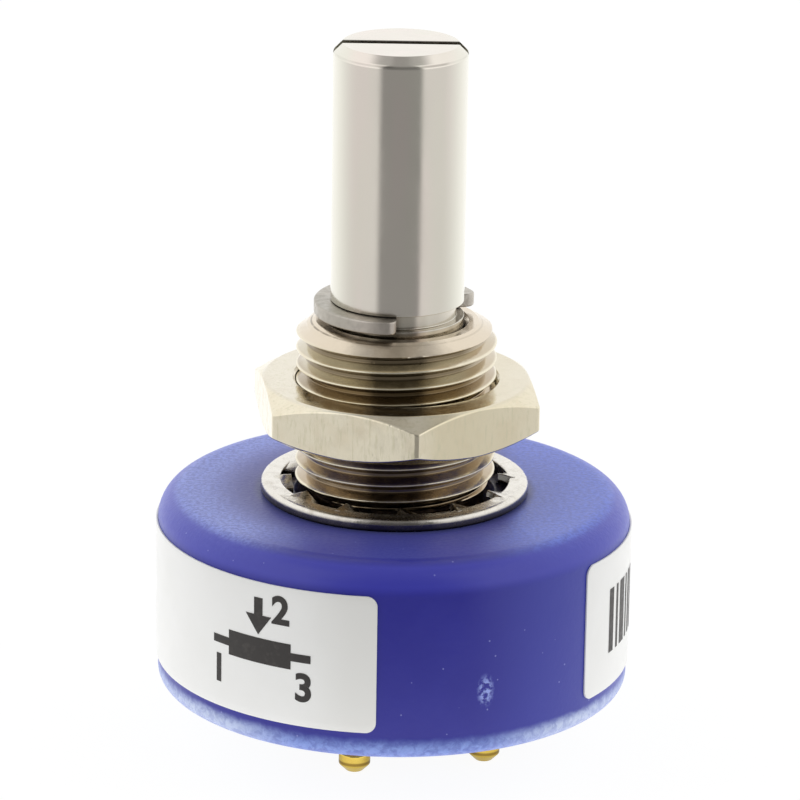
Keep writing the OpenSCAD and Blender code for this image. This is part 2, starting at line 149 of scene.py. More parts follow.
def rounded(points, closed=True, steps=5, hold=0.02):
    """A line of (x, y, radius) points with each corner turned into an arc between two holding points."""
    out = []
    count = len(points)
    for i, (x, y, radius) in enumerate(points):
        ends = not closed and i in (0, count - 1)
        if radius <= 0 or ends:
            out.append((x, y))
            continue
        p = Vector((x, y))
        u = Vector(points[i - 1][:2]) - p
        w = Vector(points[(i + 1) % count][:2]) - p
        room = 0.45 * min(u.length, w.length)
        u.normalize()
        w.normalize()
        half = u.angle(w) / 2
        cut = min(radius / math.tan(half), room)
        radius = cut * math.tan(half)
        centre = p + (u + w).normalized() * radius / math.sin(half)
        first = math.atan2(*((p + u * cut) - centre).yx)
        last = math.atan2(*((p + w * cut) - centre).yx)
        turn = (last - first + math.pi) % (2 * math.pi) - math.pi
        out.append(tuple(p + u * min(cut + hold, room * 1.05)))
        for k in range(steps + 1):
            a = first + turn * k / steps
            out.append((centre.x + radius * math.cos(a), centre.y + radius * math.sin(a)))
        out.append(tuple(p + w * min(cut + hold, room * 1.05)))
    return out


def split_long(line, longest):
    """The line with its long stretches split into equal parts."""
    out = [line[0]]
    for (x0, y0), (x1, y1) in zip(line, line[1:]):
        parts = max(1, math.ceil(math.dist((x0, y0), (x1, y1)) / longest))
        for k in range(1, parts + 1):
            out.append((x0 + (x1 - x0) * k / parts, y0 + (y1 - y0) * k / parts))
    return out


def rounded_strip(length, corner, count):
    """Places along a strip with rounded corners, each with how far its edge is drawn in there."""
    bends = [corner * (1 - math.cos(math.radians(a))) for a in range(0, 91, 10)]
    middle = np.linspace(corner, length - corner, count)[1:-1]
    for place in bends + list(middle) + [length - b for b in reversed(bends)]:
        near = min(place, length - place, corner)
        yield place, corner - math.sqrt(max(corner ** 2 - (corner - near) ** 2, 0))


def grid(rows, wrap_rows=True, wrap_columns=True):
    """Vertices and faces of a net of equally long rows of points."""
    height, width = len(rows), len(rows[0])
    faces = []
    for j in range(height if wrap_rows else height - 1):
        low, high = j * width, (j + 1) % height * width
        for i in range(width if wrap_columns else width - 1):
            k = (i + 1) % width
            faces.append((low + i, low + k, high + k, high + i))
    return [p for row in rows for p in row], faces


def capped(rows):
    """The net of a bar through equal cross-sections, with both its ends closed."""
    verts, faces = grid(rows, wrap_rows=False)
    count = len(rows[0])
    last = len(verts) - count
    faces.append(tuple(range(count)))
    faces.append(tuple(last + i for i in reversed(range(count))))
    return verts, faces


def revolve(profile, closed=True, around=AROUND, centre=(0, 0)):
    """The net made by turning an (r, z) profile about the vertical line through centre."""
    rows = []
    for r, z in profile:
        row = []
        for i in range(around):
            a = 2 * math.pi * i / around
            row.append(Vector((centre[0] + r * math.cos(a), centre[1] + r * math.sin(a), z)))
        rows.append(row)
    return grid(rows, wrap_rows=closed)


def smooth(mesh, sharp):
    """Smooth shading, apart from edges sharper than an angle in degrees."""
    mesh.shade_smooth()
    mesh.set_sharp_from_angle(angle=math.radians(sharp))


def build(name, parts, sharp=32):
    """One object, in metres, from (vertices, faces) pairs in mm, welded and smooth between sharp edges."""
    bm = bmesh.new()
    for verts, faces in parts:
        made = [bm.verts.new(Vector(v) * MM) for v in verts]
        for face in faces:
            bm.faces.new([made[i] for i in face])
    bmesh.ops.remove_doubles(bm, verts=bm.verts, dist=1e-8)
    bmesh.ops.dissolve_degenerate(bm, edges=bm.edges, dist=1e-8)
    bmesh.ops.recalc_face_normals(bm, faces=bm.faces)
    mesh = bpy.data.meshes.new(name)
    bm.to_mesh(mesh)
    bm.free()
    smooth(mesh, sharp)
    obj = bpy.data.objects.new(name, mesh)
    bpy.context.scene.collection.objects.link(obj)
    return obj


def bake_modifiers(obj, sharp=32):
    """Replaces the object's mesh by the one its modifiers give."""
    bpy.context.view_layer.update()
    evaluated = obj.evaluated_get(bpy.context.evaluated_depsgraph_get())
    mesh = bpy.data.meshes.new_from_object(evaluated)
    obj.modifiers.clear()
    obj.data = mesh
    smooth(mesh, sharp)


def dress(obj, material, body, slot, *nodes):
    """Gives a piece its material and its body, and hides the solids that it stands for. The slot is not
    used.
    """
    obj.data.materials.clear()
    obj.data.materials.append(material)
    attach(obj, body)
    if nodes:
        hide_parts(*nodes)


class Nodes:
    """A small builder for node trees. Lengths are in mm."""

    def __init__(self, tree, coordinates="Object"):
        self.tree = tree
        self.coordinates = self.node("ShaderNodeTexCoord").outputs[coordinates]

    def node(self, kind, **settings):
        node = self.tree.nodes.new(kind)
        for key, value in settings.items():
            setattr(node, key, value)
        return node

    def set(self, node, key, value):
        """Links a socket to an input, or writes a plain value into it."""
        if isinstance(value, bpy.types.NodeSocket):
            self.tree.links.new(value, node.inputs[key])
        else:
            node.inputs[key].default_value = value

    def place(self, stretch=(1, 1, 1)):
        mapping = self.node("ShaderNodeMapping")
        self.set(mapping, "Vector", self.coordinates)
        self.set(mapping, "Scale", tuple(s / MM for s in stretch))
        return mapping.outputs[0]

    def axis(self, name):
        """One of the object's own coordinates."""
        split = self.node("ShaderNodeSeparateXYZ")
        self.set(split, "Vector", self.place())
        return split.outputs[name]

    def aside(self):
        """The distance to the left or right of the middle."""
        return self.math("ABSOLUTE", self.axis("X"))

    def from_axis(self):
        """The distance from the shaft's axis."""
        return self.length(self.axis("X"), self.axis("Y"))

    def noise(self, size, detail=2.0, rough=0.5, stretch=(1, 1, 1), distort=0.0):
        texture = self.node("ShaderNodeTexNoise")
        self.set(texture, "Vector", self.place(stretch))
        self.set(texture, "Scale", 1 / size)
        self.set(texture, "Detail", detail)
        self.set(texture, "Roughness", rough)
        self.set(texture, "Distortion", distort)
        return texture.outputs["Fac"]

    def cells(self, size):
        texture = self.node("ShaderNodeTexVoronoi")
        self.set(texture, "Vector", self.place())
        self.set(texture, "Scale", 1 / size)
        return texture.outputs["Distance"]

    def math(self, operation, a, b=0.0):
        node = self.node("ShaderNodeMath", operation=operation)
        self.set(node, 0, a)
        self.set(node, 1, b)
        return node.outputs[0]

    def times(self, first, *others):
        for other in others:
            first = self.math("MULTIPLY", first, other)
        return first

    def length(self, x, y):
        return self.math("SQRT", self.math("ADD", self.times(x, x), self.times(y, y)))

    def span(self, value, low, high, to_low=0.0, to_high=1.0):
        """A smooth step of the value, from to_low at low to to_high at high."""
        node = self.node("ShaderNodeMapRange", interpolation_type="SMOOTHSTEP")
        self.set(node, "Value", value)
        self.set(node, "From Min", low)
        self.set(node, "From Max", high)
        self.set(node, "To Min", to_low)
        self.set(node, "To Max", to_high)
        return node.outputs[0]

    def line(self, value, centre, inner, outer, strength):
        """A soft line where the value is near centre: full within inner, gone beyond outer."""
        away = self.math("ABSOLUTE", self.math("SUBTRACT", value, centre))
        return self.span(away, inner, outer, strength, 0.0)

    def choose(self, factor, first, second):
        """The first number where the factor is 0, the second where it is 1."""
        node = self.node("ShaderNodeMix", data_type="FLOAT")
        for socket, value in ((0, factor), (2, first), (3, second)):
            self.set(node, socket, value)
        return node.outputs[0]

    def to_camera(self, others, camera):
        """One shader for what the camera sees directly, and another for all other rays."""
        join = self.node("ShaderNodeMixShader")
        self.set(join, 0, self.node("ShaderNodeLightPath").outputs["Is Camera Ray"])
        self.set(join, 1, others.outputs[0])
        self.set(join, 2, camera.outputs[0])
        return join.outputs[0]


class Shader(Nodes):
    """A procedural material, built up by tints and bumps."""

    def __init__(self, name, colour, roughness, metallic=0.0, **inputs):
        self.material = bpy.data.materials.new(name)
        self.material.use_nodes = True
        super().__init__(self.material.node_tree)
        self.bsdf = self.tree.nodes["Principled BSDF"]
        self.set(self.bsdf, "Base Color", (*colour, 1.0))
        self.set(self.bsdf, "Roughness", roughness)
        self.set(self.bsdf, "Metallic", metallic)
        for key, value in inputs.items():
            self.set(self.bsdf, key.replace("_", " "), value)
        self.colour = (*colour, 1.0)
        self.normal = None

    def tint(self, factor, other):
        """Moves the base colour towards another one by a factor."""
        node = self.node("ShaderNodeMix", data_type="RGBA")
        for socket, value in ((0, factor), (6, self.colour), (7, (*other, 1.0))):
            self.set(node, socket, value)
        self.colour = node.outputs[2]
        self.set(self.bsdf, "Base Color", self.colour)

    def rough(self, value):
        self.set(self.bsdf, "Roughness", value)

    def bump(self, height, depth):
        node = self.node("ShaderNodeBump")
        self.set(node, "Height", height)
        self.set(node, "Distance", depth * MM)
        self.set(node, "Strength", 1.0)
        if self.normal is not None:
            self.set(node, "Normal", self.normal)
        self.normal = node.outputs[0]
        self.set(self.bsdf, "Normal", self.normal)


def spot(s, az, r, z, width, height):
    """1 inside an upright oval on the case's surface, falling to 0 at its edge."""
    centre = at(az, r, z)
    across = at(az + 90, 1, 0)
    dx = s.math("SUBTRACT", s.axis("X"), centre.x)
    dy = s.math("SUBTRACT", s.axis("Y"), centre.y)
    along = s.math("ADD", s.times(dx, across.x / width), s.times(dy, across.y / width))
    up = s.math("DIVIDE", s.math("SUBTRACT", s.axis("Z"), centre.z), height)
    this_side = s.math("LESS_THAN", dy, 3.0)
    return s.times(s.span(s.length(along, up), 0.35, 1.0, 1.0, 0.0), this_side)


def paint_face_sheen(s):
    """Painted sheen on the case's front face, paler on the left and missing from the part on the -Y side,
    which stays dark as painted shade. Returns where the sheen lies.
    """
    x, z = s.axis("X"), s.axis("Z")
    bent = s.math("ADD", s.axis("Y"), s.times(s.math("POWER", s.aside(), 2.0), 0.045))
    face = s.times(s.span(z, -1.3, -0.1), s.span(bent, -8.8, -3.4))
    painted_sheen = s.times(face, s.span(s.noise(0.2, 3, 0.65), 0.38, 0.62, 0.5, 1.0))
    s.tint(s.times(painted_sheen, s.span(x, 1.0, -5.5)), (0.24, 0.31, 0.80))
    s.tint(s.times(painted_sheen, s.span(x, 1.0, 6.0)), (0.105, 0.18, 0.74))
    # Painted light: the rounded edge between the face and the side is a brighter blue than the side
    edge = s.times(s.span(z, -1.5, -0.9), s.span(z, -0.25, -0.02, 1.0, 0.0))
    s.tint(s.times(edge, 0.9), (0.048, 0.050, 0.46))
    return face


def rolled_rim_and_rim_light(s):
    """The low rim, rough from hot rolling and paler, partly real and partly painted light from the floor
    below, and paler still at the left and right as painted light. Returns its band and the band's mottled
    pattern.
    """
    height = s.math("ADD", s.axis("Z"), s.times(s.noise(0.9, 3, 0.6), 0.3))
    band = s.span(height, -8.75, -8.15, 1.0, 0.0)
    rim = s.times(band, s.span(s.noise(0.4, 4, 0.65, distort=0.6), 0.38, 0.62, 0.6, 1.0))
    s.tint(rim, (0.225, 0.32, 0.74))
    # Painted light: the rim is paler still at the left and right
    s.tint(s.times(rim, s.span(s.aside(), 4.0, 9.0)), (0.64, 0.72, 0.92))
    return band, rim


def scuff_wall(s):
    """A pale scuff on the case's wall, between the label's ends. Returns where it is."""
    az, z, width, height = 22.7, -6.25, 0.5, 0.95
    scuff = s.times(spot(s, az, BODY_R, z, width, height), s.span(s.noise(0.24, 3, 0.6), 0.40, 0.60))
    s.tint(s.times(scuff, 0.85), (0.36, 0.45, 0.96))
    return scuff


def paint_shade_round_washer(s):
    """Painted shade: deeper blue round the lock washer, a narrow painted contact shadow at its edge, and a
    dark brown ring within it with paler flecks as painted glints.
    """
    r = s.from_axis()
    upper = s.math("GREATER_THAN", s.axis("Z"), -0.5)
    wide_shade = s.times(s.span(r, WASHER_OUT + 0.3, WASHER_OUT + 3.0, 1.0, 0.0), upper)
    # Painted shade round the washer, weaker on the right
    s.tint(s.times(wide_shade, s.span(s.axis("X"), 4.9, 6.2, 1.0, 0.2)), (0.014, 0.010, 0.24))
    # Painted contact shadow at the washer's edge
    s.tint(s.times(s.span(r, WASHER_OUT, WASHER_OUT + 0.5, 0.9, 0.0), upper), (0.012, 0.010, 0.12))
    # Painted shade under the teeth, with paler flecks as painted glints
    shade_under_teeth = s.span(r, 5.5, 5.7, 1.0, 0.0)
    s.tint(shade_under_teeth, (0.070, 0.052, 0.038))
    s.tint(s.times(shade_under_teeth, s.span(s.noise(0.35, 3, 0.6), 0.5, 0.62)), (0.30, 0.24, 0.17))


def blue_moulding():
    s = Shader("blue_moulding", (0.012, 0.011, 0.275), 0.34, Specular_IOR_Level=0.5,
               Sheen_Weight=0.7, Sheen_Roughness=0.4, Sheen_Tint=(0.37, 0.43, 1.0, 1.0))
    cloud = s.noise(3.4, 3, 0.55)
    grain = s.noise(0.22, 3, 0.6)
    s.tint(s.span(cloud, 0.35, 0.7, 0.0, 0.5), (0.018, 0.018, 0.31))
    # Painted light: the right side is a paler, brighter blue
    s.tint(s.span(s.axis("X"), 3.5, 7.5, 0.0, 0.6), (0.035, 0.045, 0.38))
    face = paint_face_sheen(s)
    band, rim = rolled_rim_and_rim_light(s)
    scuff = scuff_wall(s)
    paint_shade_round_washer(s)
    dust = s.span(s.cells(0.9), 0.035, 0.06, 1.0, 0.0)
    s.tint(s.times(dust, 0.5), (0.35, 0.38, 0.75))
    s.rough(s.math("ADD", s.span(grain, 0.3, 0.7, 0.29, 0.39), s.times(rim, 0.12)))
    s.bump(cloud, 0.03)
    s.bump(grain, 0.006)
    s.bump(s.times(s.noise(0.42, 3, 0.6), band), 0.1)
    s.bump(s.times(s.noise(0.16, 2, 0.6), face), 0.014)
    s.bump(scuff, 0.03)
    return s.material


def turned_steel():
    s = Shader("stainless_steel", (0.715, 0.668, 0.598), 0.16, 1.0)
    x, z = s.axis("X"), s.axis("Z")
    patches = s.noise(2.6, 2, 0.5, stretch=(1, 1, 0.35))
    s.tint(s.span(patches, 0.35, 0.68, 0.0, 0.6), (0.75, 0.70, 0.625))
    # Brownish in the groove and below it, darkening towards the bottom as painted shade going into the
    # bore, and a darker band just above it on the left as painted shade in the corner over the ring
    s.tint(s.span(z, GROOVE_HIGH - 0.04, GROOVE_HIGH, 0.9, 0.0), (0.42, 0.35, 0.26))
    s.tint(s.span(z, GROOVE_LOW - 0.1, GROOVE_HIGH - 0.15, 0.85, 0.0), (0.11, 0.085, 0.06))
    low_edge = s.span(z, GROOVE_HIGH + 0.1, GROOVE_HIGH + 0.17, 0.85, 0.0)
    s.tint(s.times(low_edge, s.span(x, -0.6, 0.4, 1.0, 0.0)), (0.36, 0.335, 0.285))
    # Painted shade: a dark line along the chamfer's lower edge
    chamfer_edge_shade = s.line(z, SHAFT_TOP - SHAFT_CHAMFER + 0.01, 0.02, 0.07, 0.5)
    s.tint(chamfer_edge_shade, (0.16, 0.14, 0.12))
    # Long faint streaks, some pinkish and some greenish
    pink = s.noise(1.5, 1, 0.5, stretch=(1, 1, 0.1))
    s.tint(s.span(pink, 0.45, 0.62, 0.0, 0.5), (0.76, 0.675, 0.62))
    green = s.noise(1.9, 1, 0.5, stretch=(1, 1, 0.12), distort=0.3)
    s.tint(s.span(green, 0.5, 0.66, 0.0, 0.5), (0.70, 0.69, 0.59))
    # Painted reflection: greener near the left and right edges above the groove
    above = s.math("GREATER_THAN", z, GROOVE_HIGH)
    s.tint(s.times(s.span(s.aside(), 1.9, 2.8, 0.0, 0.8), above), (0.73, 0.72, 0.635))
    s.rough(s.span(s.noise(1.1, 3, 0.6, stretch=(1, 1, 0.5)), 0.3, 0.7, 0.12, 0.2))
    s.bump(s.noise(0.9, 3, 0.6, stretch=(0.12, 0.12, 14)), 0.0009)
    s.bump(s.noise(0.5, 2, 0.6), 0.0012)
    return s.material


def nickel(name):
    """Nickel plate with faint stains."""
    s = Shader(name, (0.775, 0.715, 0.565), 0.17, 1.0)
    s.tint(s.span(s.noise(1.5, 4, 0.6), 0.42, 0.72, 0.0, 0.5), (0.69, 0.60, 0.44))
    return s


def handle_nickel(s):
    """The plate's uneven gloss and its small dents."""
    s.rough(s.span(s.noise(0.5, 3, 0.6), 0.3, 0.72, 0.12, 0.26))
    s.bump(s.noise(1.3, 2, 0.5), 0.010)
    s.bump(s.noise(0.22, 3, 0.6), 0.0022)
    s.bump(s.span(s.cells(0.85), 0.05, 0.12), 0.003)


def grime_and_thread_shade(s):
    """Grime in the thread below its crests, with painted shade in the roots, next to and below the nut, and
    in the middle of the front.
    """
    r, z = s.from_axis(), s.axis("Z")
    root_r = THREAD_R - THREAD_DEPTH
    below_chamfer = s.span(z, BUSH_TOP - 0.65, BUSH_TOP - 0.5, 0.9, 0.0)
    grime_and_shade = s.times(s.span(r, THREAD_R - 0.14, THREAD_R - 0.03, 1.0, 0.0), below_chamfer)
    s.tint(grime_and_shade, (0.49, 0.395, 0.28))
    root = s.span(r, root_r + 0.005, root_r + 0.06, 0.85, 0.0)
    # Above the nut the first groove is dark as painted shade next to the nut, the next ones are paler, the
    # roots are darker as painted shade, and all fade to the right
    above = s.times(grime_and_shade, s.span(z, NUT_HIGH - 0.3, NUT_HIGH), s.span(s.axis("X"), 2.9, 3.9, 1.0, 0.4))
    first_groove, next_groove = 6.25, 6.6
    s.tint(s.times(above, s.span(z, first_groove, next_groove)), (0.60, 0.55, 0.43))
    s.tint(s.times(above, s.span(z, first_groove, next_groove, 0.6, 0.0)), (0.25, 0.205, 0.135))
    s.tint(s.times(above, root), (0.14, 0.09, 0.035))
    # Below the nut all grooves are dark as painted shade between the nut and the washer, and the roots
    # darker still
    s.tint(s.times(grime_and_shade, s.span(z, NUT_LOW - 0.49, NUT_LOW + 0.11, 0.2, 0.0)), (0.29, 0.225, 0.14))
    s.tint(s.times(grime_and_shade, root, s.span(z, NUT_LOW - 0.29, NUT_LOW + 0.01, 0.85, 0.0)), (0.14, 0.10, 0.06))
    # Painted shade: darker in the middle of the front
    s.tint(s.times(grime_and_shade, s.span(s.aside(), 0.8, 2.6, 0.55, 0.0)), (0.10, 0.075, 0.045))


def dark_line_round_chamfer(s, r, z):
    """A fine, broken line round the bushing's chamfer, fainter on the right."""
    dark_line = s.line(r, DARK_LINE_R, 0.02, 0.06, 0.75)
    dark_line = s.times(dark_line, s.span(s.noise(0.5, 3, 0.6), 0.32, 0.5, 0.3, 1.0))
    dark_line = s.times(dark_line, s.span(s.axis("X"), -0.8, 0.4, 1.0, 0.25))
    s.tint(s.times(dark_line, s.span(z, BUSH_TOP - 0.3, BUSH_TOP - 0.2)), (0.20, 0.165, 0.12))


def bushing_nickel():
    s = nickel("bushing_nickel")
    r, z = s.from_axis(), s.axis("Z")
    grime_and_thread_shade(s)
    s.tint(s.span(z, BUSH_TOP - 0.6, BUSH_TOP - 0.45, 0.0, 0.75), (0.66, 0.565, 0.45))
    # Painted shade at the mouth of the bore
    s.tint(s.span(r, BORE_R + 0.04, BORE_R + 0.14, 0.9, 0.0), (0.10, 0.085, 0.065))
    dark_line_round_chamfer(s, r, z)
    handle_nickel(s)
    return s.material


def nut_nickel():
    s = nickel("nut_nickel")
    x = s.axis("X")
    s.tint(s.span(s.axis("Z"), NUT_HIGH - 0.12, NUT_HIGH - 0.02, 0.0, 0.4), (0.62, 0.585, 0.52))
    # Painted shade on the flats on the right
    right_flat_shade = s.times(s.span(x, 0.9, 2.2), s.span(x, 3.0, 7.0, 1.0, 0.4))
    s.tint(s.times(right_flat_shade, 0.6), (0.62, 0.545, 0.37))
    brushed = s.noise(0.16, 3, 0.6, stretch=(1, 1, 0.18))
    s.tint(s.span(brushed, 0.52, 0.70, 0.0, 0.6), (0.62, 0.58, 0.42))
    s.bump(brushed, 0.003)
    handle_nickel(s)
    return s.material


def washer_steel():
    s = Shader("washer_steel", (0.74, 0.71, 0.65), 0.16, 1.0)
    z = s.axis("Z")
    s.tint(s.span(s.noise(0.7, 4, 0.65), 0.5, 0.75, 0.0, 0.5), (0.45, 0.40, 0.33))
    # Painted reflection of the dark thread and nut on the front, thickest in the middle and within the
    # bright outer edge
    front = s.math("LESS_THAN", s.axis("Y"), 0.0)
    within = s.span(s.from_axis(), WASHER_OUT - 0.18, WASHER_OUT - 0.06, 1.0, 0.35)
    s.tint(s.times(s.span(s.aside(), 1.2, 4.8, 0.85, 0.0), front, within), (0.19, 0.16, 0.14))
    s.tint(s.times(s.span(s.aside(), 0.6, 2.0, 0.65, 0.0), front), (0.20, 0.18, 0.17))
    # Painted shade: the side is dark, and darker still at the foot as a painted contact shadow
    s.tint(s.span(z, WASHER_T - 0.3, WASHER_T - 0.1, 0.9, 0.0), (0.12, 0.105, 0.105))
    s.tint(s.span(z, 0.05, 0.35, 0.9, 0.0), (0.05, 0.045, 0.045))
    s.rough(s.span(s.noise(0.4, 3, 0.6), 0.3, 0.7, 0.12, 0.34))
    s.bump(s.noise(0.5, 3, 0.6), 0.012)
    s.bump(s.noise(0.13, 2, 0.6), 0.003)
    return s.material


def spring_steel():
    s = Shader("spring_steel", (0.57, 0.53, 0.47), 0.32, 1.0)
    z = s.axis("Z")
    # Painted reflection: darker in the middle of the front
    s.tint(s.span(s.aside(), 1.0, 3.4, 0.55, 0.0), (0.40, 0.35, 0.31))
    s.tint(s.span(s.noise(0.6, 4, 0.65), 0.45, 0.7, 0.0, 0.5), (0.36, 0.33, 0.30))
    # Painted shade: darker on the left
    left = s.times(s.span(s.axis("X"), -2.8, -1.3, 0.65, 0.0), s.math("LESS_THAN", s.axis("Y"), 0.5))
    s.tint(left, (0.39, 0.365, 0.315))
    # The top is darker than the side, and the underside is dark as painted shade over the gap above the
    # bushing
    s.tint(s.span(z, RING_HIGH - 0.06, RING_HIGH - 0.01, 0.0, 0.4), (0.33, 0.315, 0.275))
    s.tint(s.span(z, RING_LOW + 0.01, RING_LOW + 0.09, 0.6, 0.0), (0.14, 0.12, 0.10))
    s.rough(s.span(s.noise(0.3, 3, 0.6), 0.3, 0.7, 0.28, 0.46))
    s.bump(s.noise(0.4, 3, 0.6), 0.012)
    s.bump(s.noise(0.1, 2, 0.6), 0.004)
    return s.material


def gold():
    s = Shader("gold_plate", (0.80, 0.58, 0.12), 0.2, 1.0)
    s.tint(s.span(s.noise(0.5, 3, 0.6), 0.4, 0.7, 0.0, 0.5), (0.68, 0.46, 0.09))
    # Painted reflection: a dark line low round the head
    s.tint(s.line(s.axis("Z"), FLOOR_Z + 0.48, 0.03, 0.12, 0.8), (0.24, 0.14, 0.03))
    s.rough(s.span(s.noise(0.25, 3, 0.6), 0.3, 0.7, 0.1, 0.24))
    s.bump(s.noise(0.3, 2, 0.5), 0.005)
    return s.material


def label_film():
    s = Shader("label_film", (0.90, 0.90, 0.885), 0.38)
    s.tint(s.span(s.noise(2.8, 3, 0.6), 0.38, 0.7, 0.0, 0.6), (0.87, 0.87, 0.85))
    # Its end on the front side is a little greyer, as painted shade
    x = s.axis("X")
    end = s.times(s.span(x, -4.5, -1.5), s.math("LESS_THAN", x, 0.0))
    front = s.math("LESS_THAN", s.axis("Y"), 0.0)
    s.tint(s.times(end, front, 0.8), (0.80, 0.795, 0.765))
    s.rough(s.span(s.noise(0.8, 3, 0.6), 0.3, 0.7, 0.32, 0.45))
    s.bump(s.noise(4.0, 2, 0.5), 0.02)
    s.bump(s.noise(0.12, 2, 0.5), 0.0012)
    return s.material


def label_ink():
    s = Shader("label_ink", (0.022, 0.018, 0.016), 0.42)
    s.tint(s.span(s.noise(0.35, 3, 0.6), 0.5, 0.72, 0.0, 0.6), (0.05, 0.043, 0.038))
    s.rough(s.span(s.noise(0.2, 2, 0.6), 0.3, 0.7, 0.36, 0.5))
    s.bump(s.noise(0.12, 2, 0.5), 0.0012)
    return s.material


def inner(name, colour, other, roughness, metallic=0.0, size=0.5, stretch=(1, 1, 1)):
    """A plainer material for a piece inside the case."""
    s = Shader(name, colour, roughness, metallic)
    s.tint(s.span(s.noise(size, 4, 0.6, stretch), 0.36, 0.68), other)
    s.rough(s.span(s.noise(size / 2, 3, 0.6, stretch), 0.3, 0.7, roughness * 0.85, roughness * 1.2))
    s.bump(s.noise(size / 3, 3, 0.6, stretch), 0.006)
    return s.material


def turned(u, v, angle):
    """Two directions at right angles to each other, turned in their plane."""
    c, s = math.cos(angle), math.sin(angle)
    return u * c + v * s, v * c - u * s


def make_camera():
    """The camera that was fitted to the photograph's edges."""
    distance, focal_px, frame_px, sensor = 240.0, 5064.5, 800, 36.0
    lean, pan, tilt, roll = (math.radians(a) for a in (17.103, 0.048, -0.806, 0.875))
    aim = Vector((0, 0, 8.0))
    side = Vector((1, 0, 0))
    away = Vector((0, -math.cos(lean), math.sin(lean)))
    forward = turned(-away, side, pan)[0]
    right = forward.cross(side.cross(-away)).normalized()
    up = right.cross(forward)
    forward, up = turned(forward, up, tilt)
    right, up = turned(right, up, roll)
    camera = bpy.data.cameras.new("camera")
    camera.sensor_fit = "HORIZONTAL"
    camera.sensor_width = sensor
    camera.lens = focal_px * sensor / frame_px
    camera.clip_start, camera.clip_end = 0.01, 10.0
    obj = bpy.data.objects.new("camera", camera)
    bpy.context.scene.collection.objects.link(obj)
    place = Matrix((right, up, -forward)).transposed().to_4x4()
    place.translation = (aim + away * distance) * MM
    obj.matrix_world = place
    bpy.context.scene.camera = obj


def turn_from_front(s, x, y):
    """How far a direction is turned from one about 3 degrees right of the front, from 0 to pi."""
    aside = s.math("ADD", x, s.times(y, 0.05))
    return s.math("ABSOLUTE", s.math("ARCTAN2", aside, s.times(y, -1.0)))


def opening(s, turn):
    """1 towards the dark open side in front, and 0 towards the white walls."""
    return s.span(turn, math.radians(30), math.radians(41), 1.0, 0.0)


def make_world():
    """White walls with a dark open side in front and a dimmer ceiling. The camera sees plain white."""
    world = bpy.data.worlds.new("studio")
    bpy.context.scene.world = world
    world.use_nodes = True
    world.node_tree.nodes.clear()
    s = Nodes(world.node_tree, "Generated")
    split = s.node("ShaderNodeSeparateXYZ")
    s.set(split, 0, s.coordinates)
    x, y, height = split.outputs
    turn = turn_from_front(s, x, y)
    front = s.span(height, 0.55, 0.88, 0.22, 0.38)
    walls = s.span(turn, math.radians(80), math.radians(130), 1.2, 1.15)
    sides = s.choose(s.span(height, 0.82, 0.94), walls, 0.5)
    light = s.node("ShaderNodeBackground")
    s.set(light, "Strength", s.choose(opening(s, turn), sides, front))
    paper = s.node("ShaderNodeBackground")
    for node in (light, paper):
        s.set(node, "Color", (1.0, 1.0, 1.0, 1.0))
    s.set(s.node("ShaderNodeOutputWorld"), "Surface", s.to_camera(light, paper))


def floor_paper():
    """White paper that glows as the walls do. The camera sees it plain white, with a soft shadow."""
    material = bpy.data.materials.new("floor_paper")
    material.use_nodes = True
    material.node_tree.nodes.clear()
    s = Nodes(material.node_tree)
    far = s.from_axis()
    turn = turn_from_front(s, s.axis("X"), s.axis("Y"))
    walls = s.span(turn, math.radians(75), math.radians(145), 0.84, 1.2)
    distant = s.choose(opening(s, turn), walls, 0.34)
    close = s.choose(opening(s, turn), 1.12, 1.3)
    lit = s.choose(s.span(far, 18.0, 38.0), close, distant)
    # Painted shade: the glow is dimmer under the case
    under_case_shade = s.span(far, 4.0, 11.5, 0.35, 1.0)
    glow = s.node("ShaderNodeEmission")
    s.set(glow, "Strength", s.times(lit, under_case_shade))
    white = s.node("ShaderNodeEmission")
    s.set(white, "Strength", 1.02)
    shaded = s.node("ShaderNodeBsdfDiffuse")
    s.set(shaded, "Color", (1.0, 1.0, 1.0, 1.0))
    paper = s.node("ShaderNodeMixShader")
    for socket, value in ((0, 0.08), (1, white.outputs[0]), (2, shaded.outputs[0])):
        s.set(paper, socket, value)
    s.set(s.node("ShaderNodeOutputMaterial"), "Surface", s.to_camera(glow, paper))
    return material


def make_floor():
    reach = 900.0
    corners = [(-reach, -reach), (reach, -reach), (reach, reach), (-reach, reach)]
    mesh = bpy.data.meshes.new("floor")
    mesh.from_pydata([Vector((x, y, FLOOR_Z)) * MM for x, y in corners], [], [(0, 1, 2, 3)])
    mesh.materials.append(floor_paper())
    floor = bpy.data.objects.new("floor", mesh)
    bpy.context.scene.collection.objects.link(floor)


def make_housing():
    section = rounded([
        (HOLE_R, FRONT_WALL_Z, 0), (HOLE_R, 0, 0.06), (BODY_R, 0, 1.4), (BODY_R, BODY_LOW, 1.2),
        (LIP_R, BODY_LOW, 0.08), (LIP_R, SEAT_LOW, 0), (SEAT_R, SEAT_LOW, 0), (SEAT_R, SEAT_HIGH, 0),
        (CAVITY_R, SEAT_HIGH, 0), (CAVITY_R, FRONT_WALL_Z, 0.2),
    ], steps=14)
    return build("housing_cup", [revolve(section)])


def make_cover():
    cover_r, step_r = SEAT_R - COVER_GAP, LIP_R - COVER_GAP
    section = rounded([
        (0, SEAT_HIGH, 0), (cover_r, SEAT_HIGH, 0.05), (cover_r, SEAT_LOW, 0.05), (step_r, SEAT_LOW, 0),
        (step_r, COVER_LOW, 0.1), (0, COVER_LOW, 0),
    ], steps=4)
    return build("rear_disc", [revolve(section)])


